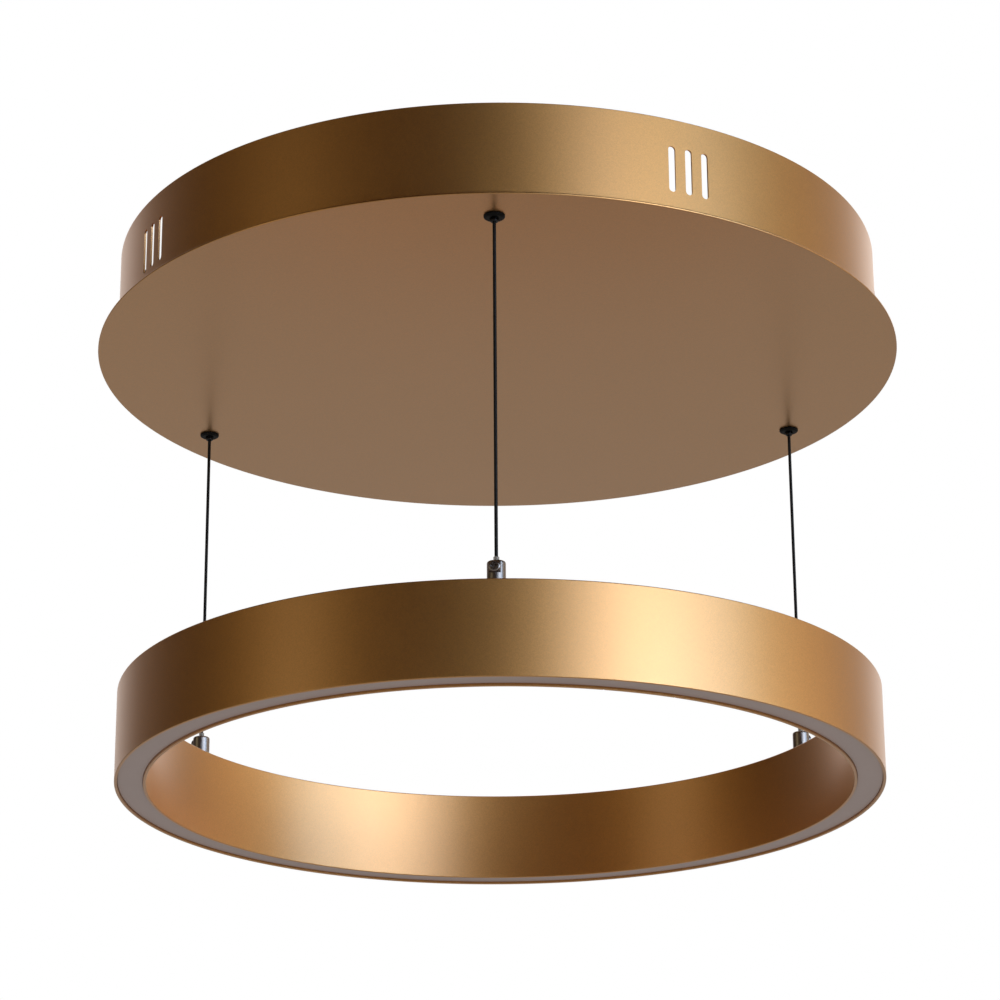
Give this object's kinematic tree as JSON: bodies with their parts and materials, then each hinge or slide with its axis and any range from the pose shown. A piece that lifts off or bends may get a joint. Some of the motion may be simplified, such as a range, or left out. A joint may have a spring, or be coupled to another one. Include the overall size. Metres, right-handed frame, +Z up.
{
  "type": "led ring chandelier",
  "caption": "Round canopy with vent slots and a slim LED ring hung under it on thin adjustable wires, in satin gold.",
  "frame": {"origin": "centre of the ceiling screws' pattern, on the ceiling plane at the canopy's open rim", "axes": "+Z up into the ceiling, +X to the right along the ceiling strap, -Y towards the near wire at the front"},
  "size_m": [0.4499, 0.45, 0.3056],
  "materials": {
    "gold": "satin gold lacquer with a fine metallic flake under a clear coat",
    "gold_aluminium": "rolled aluminium in the same satin gold lacquer",
    "gold_plastic": "moulded, lacquered to match the ring",
    "black": "black moulded plastic, slightly glossy",
    "black_metal": "black-plated turned steel",
    "nickel": "bright nickel plate",
    "steel": "zinc-plated steel",
    "wire_black": "steel-cored wire in a black jacket",
    "clear_sleeve": "clear soft plastic",
    "opal": "opal acrylic, unlit",
    "board": "white solder mask",
    "led": "white package with a yellow phosphor window",
    "white_plastic": "white moulded housing",
    "insulator": "natural nylon",
    "lead_brown": "flexible insulation",
    "copper": "tinned copper"
  },
  "bodies": {
    "canopy": {"canopy_plate": "gold", "canopy_drum": "gold", "ceiling_strap": "steel", "side_screws": "gold", "gripper_barrels": "steel", "gripper_flanges": "black", "gripper_nuts": "steel", "wire_tails": "wire_black", "spare_hanks": "wire_black", "hank_ties": "black", "driver_base": "white_plastic", "driver_lid": "white_plastic", "plate_studs": "steel", "stud_nuts": "steel", "terminal_block": "insulator", "earth_lug": "copper", "supply_leads": "lead_brown", "output_leads": "wire_black", "grip_spring_near": "steel", "grip_spring_right": "steel", "grip_spring_left": "steel"},
    "nipple_near": {"release_nipple_near": "black_metal", "grip_jaws_near": "steel"},
    "wire_near": {"wire_near": "wire_black"},
    "sleeve_near": {"wire_sleeve_near": "clear_sleeve"},
    "nipple_right": {"release_nipple_right": "black_metal", "grip_jaws_right": "steel"},
    "wire_right": {"wire_right": "wire_black"},
    "sleeve_right": {"wire_sleeve_right": "clear_sleeve"},
    "nipple_left": {"release_nipple_left": "black_metal", "grip_jaws_left": "steel"},
    "wire_left": {"wire_left": "wire_black"},
    "sleeve_left": {"wire_sleeve_left": "clear_sleeve"},
    "ring": {"ring_profile": "gold_aluminium", "ring_top_cover": "gold_plastic", "diffuser": "opal", "led_boards": "board", "leds": "led", "profile_joiner": "steel", "cable_fittings": "nickel", "clamp_screws": "nickel", "wire_ends": "copper", "hanger_blocks": "insulator", "stem_nuts": "steel", "feed_leads": "wire_black"}
  },
  "joints": [
    {"name": "near_grip_release", "type": "slide", "parent": "canopy", "child": "nipple_near", "axis": [0, 0, 1], "range_m": [0, 0.0015], "stiffness_N_per_m": 1000, "springref_m": -0.002, "deforming": ["grip_spring_near"]},
    {"name": "right_grip_release", "type": "slide", "parent": "canopy", "child": "nipple_right", "axis": [0, 0, 1], "range_m": [0, 0.0015], "stiffness_N_per_m": 1000, "springref_m": -0.002, "deforming": ["grip_spring_right"]},
    {"name": "left_grip_release", "type": "slide", "parent": "canopy", "child": "nipple_left", "axis": [0, 0, 1], "range_m": [0, 0.0015], "stiffness_N_per_m": 1000, "springref_m": -0.002, "deforming": ["grip_spring_left"]},
    {"name": "near_wire_sway", "type": "hinge", "parent": "canopy", "child": "wire_near", "pos_m": [0, -0.199, -0.0606], "axis": [0, 1, 0], "range_deg": [-10, 10]},
    {"name": "right_wire_sway", "type": "hinge", "parent": "canopy", "child": "wire_right", "pos_m": [0.17234, 0.0995, -0.0606], "axis": [0, 1, 0], "range_deg": [-10, 10]},
    {"name": "left_wire_sway", "type": "hinge", "parent": "canopy", "child": "wire_left", "pos_m": [-0.17234, 0.0995, -0.0606], "axis": [0, 1, 0], "range_deg": [-10, 10]},
    {"name": "near_height", "type": "slide", "parent": "wire_near", "child": "sleeve_near", "axis": [0, 0, 1], "range_m": [-0.8, 0.165], "deforming": ["wire_near"]},
    {"name": "right_height", "type": "slide", "parent": "wire_right", "child": "sleeve_right", "axis": [0, 0, 1], "range_m": [-0.8, 0.165], "deforming": ["wire_right"]},
    {"name": "left_height", "type": "slide", "parent": "wire_left", "child": "sleeve_left", "axis": [0, 0, 1], "range_m": [-0.8, 0.165], "deforming": ["wire_left"]},
    {"name": "ring_level", "type": "hinge", "parent": "sleeve_near", "child": "ring", "pos_m": [0, -0.199, -0.2444], "axis": [0, 1, 0], "range_deg": [-10, 10]}
  ],
  "couplings": [
    {"joint": "right_wire_sway", "follows": "near_wire_sway", "ratio": 1},
    {"joint": "right_height", "follows": "near_height", "ratio": 1},
    {"joint": "left_wire_sway", "follows": "near_wire_sway", "ratio": 1},
    {"joint": "left_height", "follows": "near_height", "ratio": 1},
    {"joint": "ring_level", "follows": "near_wire_sway", "ratio": -1}
  ]
}
